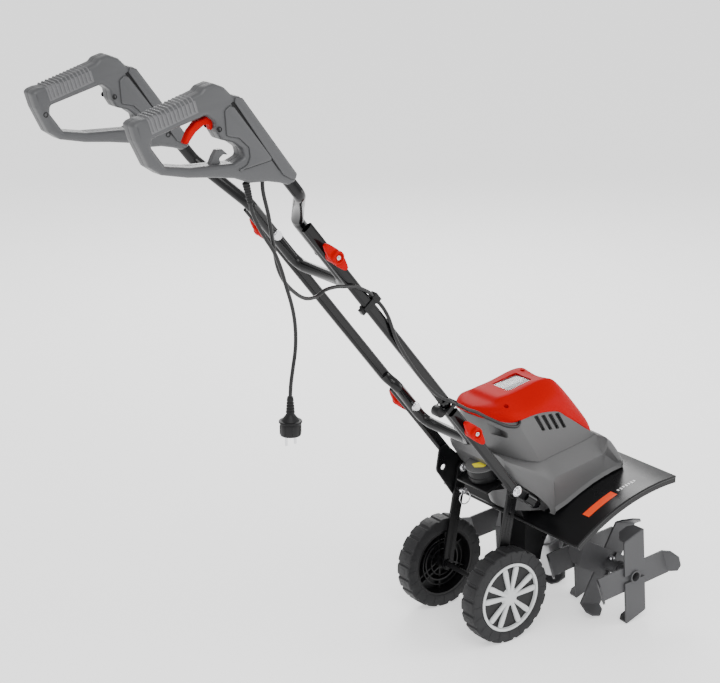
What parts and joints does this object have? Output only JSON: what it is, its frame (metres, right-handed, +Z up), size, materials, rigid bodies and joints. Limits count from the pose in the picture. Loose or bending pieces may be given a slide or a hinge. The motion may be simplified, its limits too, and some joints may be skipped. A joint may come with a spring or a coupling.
{
  "type": "electric garden tiller",
  "caption": "Corded electric tiller: star tines under a curved guard, motor housing, swing-down transport wheels, and a folding tube handle with D grips.",
  "frame": {"origin": "on the ground, at the middle of the plan outline, in the machine's middle plane", "axes": "+X forward towards the tines, +Y to the machine's left, +Z up"},
  "size_m": [1.2561, 0.4622, 1.2412],
  "materials": {
    "black_tube": "gloss",
    "black_steel": "semi-gloss",
    "guard_plastic": "semi-gloss",
    "grey_plastic": "satin",
    "red_plastic": "semi-gloss",
    "clear_window": "clear",
    "cast_aluminium": "as cast",
    "black_plastic": "satin",
    "motor_core": "laminated",
    "plain_steel": "machined",
    "zinc_steel": "zinc plated",
    "bronze": "machined",
    "tine_steel": "satin powder coat",
    "copper_winding": "enamelled wire",
    "tyre_plastic": "matt",
    "wheel_plastic": "satin",
    "hubcap_plastic": "satin",
    "cable_jacket": "satin",
    "handle_plastic": "satin",
    "grip_rubber": "ribbed",
    "black_rubber": "satin"
  },
  "bodies": {
    "chassis": {"lower_frame": "black_tube", "right_side_plate": "black_steel", "left_side_plate": "black_steel", "guard": "guard_plastic", "housing": "grey_plastic", "top_cover": "red_plastic", "window": "clear_window", "gear_bracket": "black_steel", "gear_case": "cast_aluminium", "gear_case_cover": "cast_aluminium", "capacitor_case": "black_plastic", "capacitor_cap": "grey_plastic", "stator": "motor_core", "motor_bearings": "plain_steel", "shaft_bearings": "plain_steel", "frame_bolts": "zinc_steel", "cover_screws": "zinc_steel", "lower_knob_bolts": "zinc_steel"},
    "tine_rotor": {"tine_shaft": "plain_steel", "worm_wheel": "bronze", "right_inner_tines": "tine_steel", "right_outer_tines": "tine_steel", "left_inner_tines": "tine_steel", "left_outer_tines": "tine_steel", "tine_pins": "zinc_steel"},
    "motor_rotor": {"motor_shaft": "plain_steel", "armature": "copper_winding", "cooling_fan": "black_plastic"},
    "wheel_frame": {"right_arm": "black_steel", "left_arm": "black_steel", "wheel_axle": "black_steel"},
    "lock_pin": {"lock_pin": "zinc_steel", "pull_ring": "zinc_steel"},
    "right_wheel": {"right_tyre": "tyre_plastic", "right_wheel": "wheel_plastic", "right_hubcap": "hubcap_plastic"},
    "left_wheel": {"left_tyre": "tyre_plastic", "left_wheel": "wheel_plastic", "left_hubcap": "hubcap_plastic"},
    "middle_handle": {"middle_frame": "black_tube", "cable_clips": "black_plastic", "upper_knob_bolts": "zinc_steel", "motor_lead": "cable_jacket"},
    "upper_handle": {"upper_frame": "black_tube", "right_handle_outer": "handle_plastic", "right_handle_inner": "handle_plastic", "left_handle_outer": "handle_plastic", "left_handle_inner": "handle_plastic", "right_grip": "grip_rubber", "left_grip": "grip_rubber", "strain_relief": "black_rubber", "switch": "black_plastic", "mains_cord": "cable_jacket", "mains_plug": "black_rubber"},
    "trigger": {"trigger": "red_plastic"},
    "lock_button": {"lock_button": "red_plastic"},
    "right_lower_knob": {"right_lower_knob": "red_plastic"},
    "left_lower_knob": {"left_lower_knob": "red_plastic"},
    "right_upper_knob": {"right_upper_knob": "red_plastic"},
    "left_upper_knob": {"left_upper_knob": "red_plastic"}
  },
  "joints": [
    {"name": "tine_spin", "type": "hinge", "parent": "chassis", "child": "tine_rotor", "pos_m": [0.513, 0, 0.1045], "axis": [0, 1, 0], "continuous": true},
    {"name": "motor_spin", "type": "hinge", "parent": "chassis", "child": "motor_rotor", "pos_m": [0.46735, 0, 0.08967], "axis": [-0.309, 0, 0.9511], "continuous": true},
    {"name": "wheel_swing", "type": "hinge", "parent": "chassis", "child": "wheel_frame", "pos_m": [0.282, 0, 0.312], "axis": [0, 1, 0], "range_deg": [0, 90]},
    {"name": "lock_pin_slide", "type": "slide", "parent": "wheel_frame", "child": "lock_pin", "axis": [0, 1, 0], "range_m": [-0.008, 0.006], "stiffness_N_per_m": 600},
    {"name": "right_wheel_spin", "type": "hinge", "parent": "wheel_frame", "child": "right_wheel", "pos_m": [0.245, 0, 0.1], "axis": [0, 1, 0], "continuous": true},
    {"name": "left_wheel_spin", "type": "hinge", "parent": "wheel_frame", "child": "left_wheel", "pos_m": [0.245, 0, 0.1], "axis": [0, 1, 0], "continuous": true},
    {"name": "lower_fold", "type": "hinge", "parent": "chassis", "child": "middle_handle", "pos_m": [0.1458, 0, 0.4782], "axis": [0, 1, 0], "range_deg": [0, 100], "deforming": ["motor_lead"]},
    {"name": "upper_fold", "type": "hinge", "parent": "middle_handle", "child": "upper_handle", "pos_m": [-0.1848, 0, 0.8874], "axis": [0, 1, 0], "range_deg": [-150, 0], "deforming": ["motor_lead"]},
    {"name": "trigger_pull", "type": "hinge", "parent": "upper_handle", "child": "trigger", "pos_m": [-0.47, -0.172, 1.189], "axis": [0, 1, 0], "range_deg": [0, 10], "stiffness_Nm_per_rad": 0.6},
    {"name": "lock_button_push", "type": "slide", "parent": "upper_handle", "child": "lock_button", "axis": [0, -1, 0], "range_m": [0, 0.004], "stiffness_N_per_m": 500},
    {"name": "right_lower_knob_turn", "type": "hinge", "parent": "chassis", "child": "right_lower_knob", "pos_m": [0.1458, -0.117, 0.4782], "axis": [0, 1, 0], "continuous": true},
    {"name": "right_upper_knob_turn", "type": "hinge", "parent": "middle_handle", "child": "right_upper_knob", "pos_m": [-0.1848, -0.117, 0.8874], "axis": [0, 1, 0], "continuous": true},
    {"name": "left_lower_knob_turn", "type": "hinge", "parent": "chassis", "child": "left_lower_knob", "pos_m": [0.1458, 0.117, 0.4782], "axis": [0, 1, 0], "continuous": true},
    {"name": "left_upper_knob_turn", "type": "hinge", "parent": "middle_handle", "child": "left_upper_knob", "pos_m": [-0.1848, 0.117, 0.8874], "axis": [0, 1, 0], "continuous": true}
  ],
  "couplings": [
    {"joint": "motor_spin", "follows": "tine_spin", "ratio": -20}
  ]
}
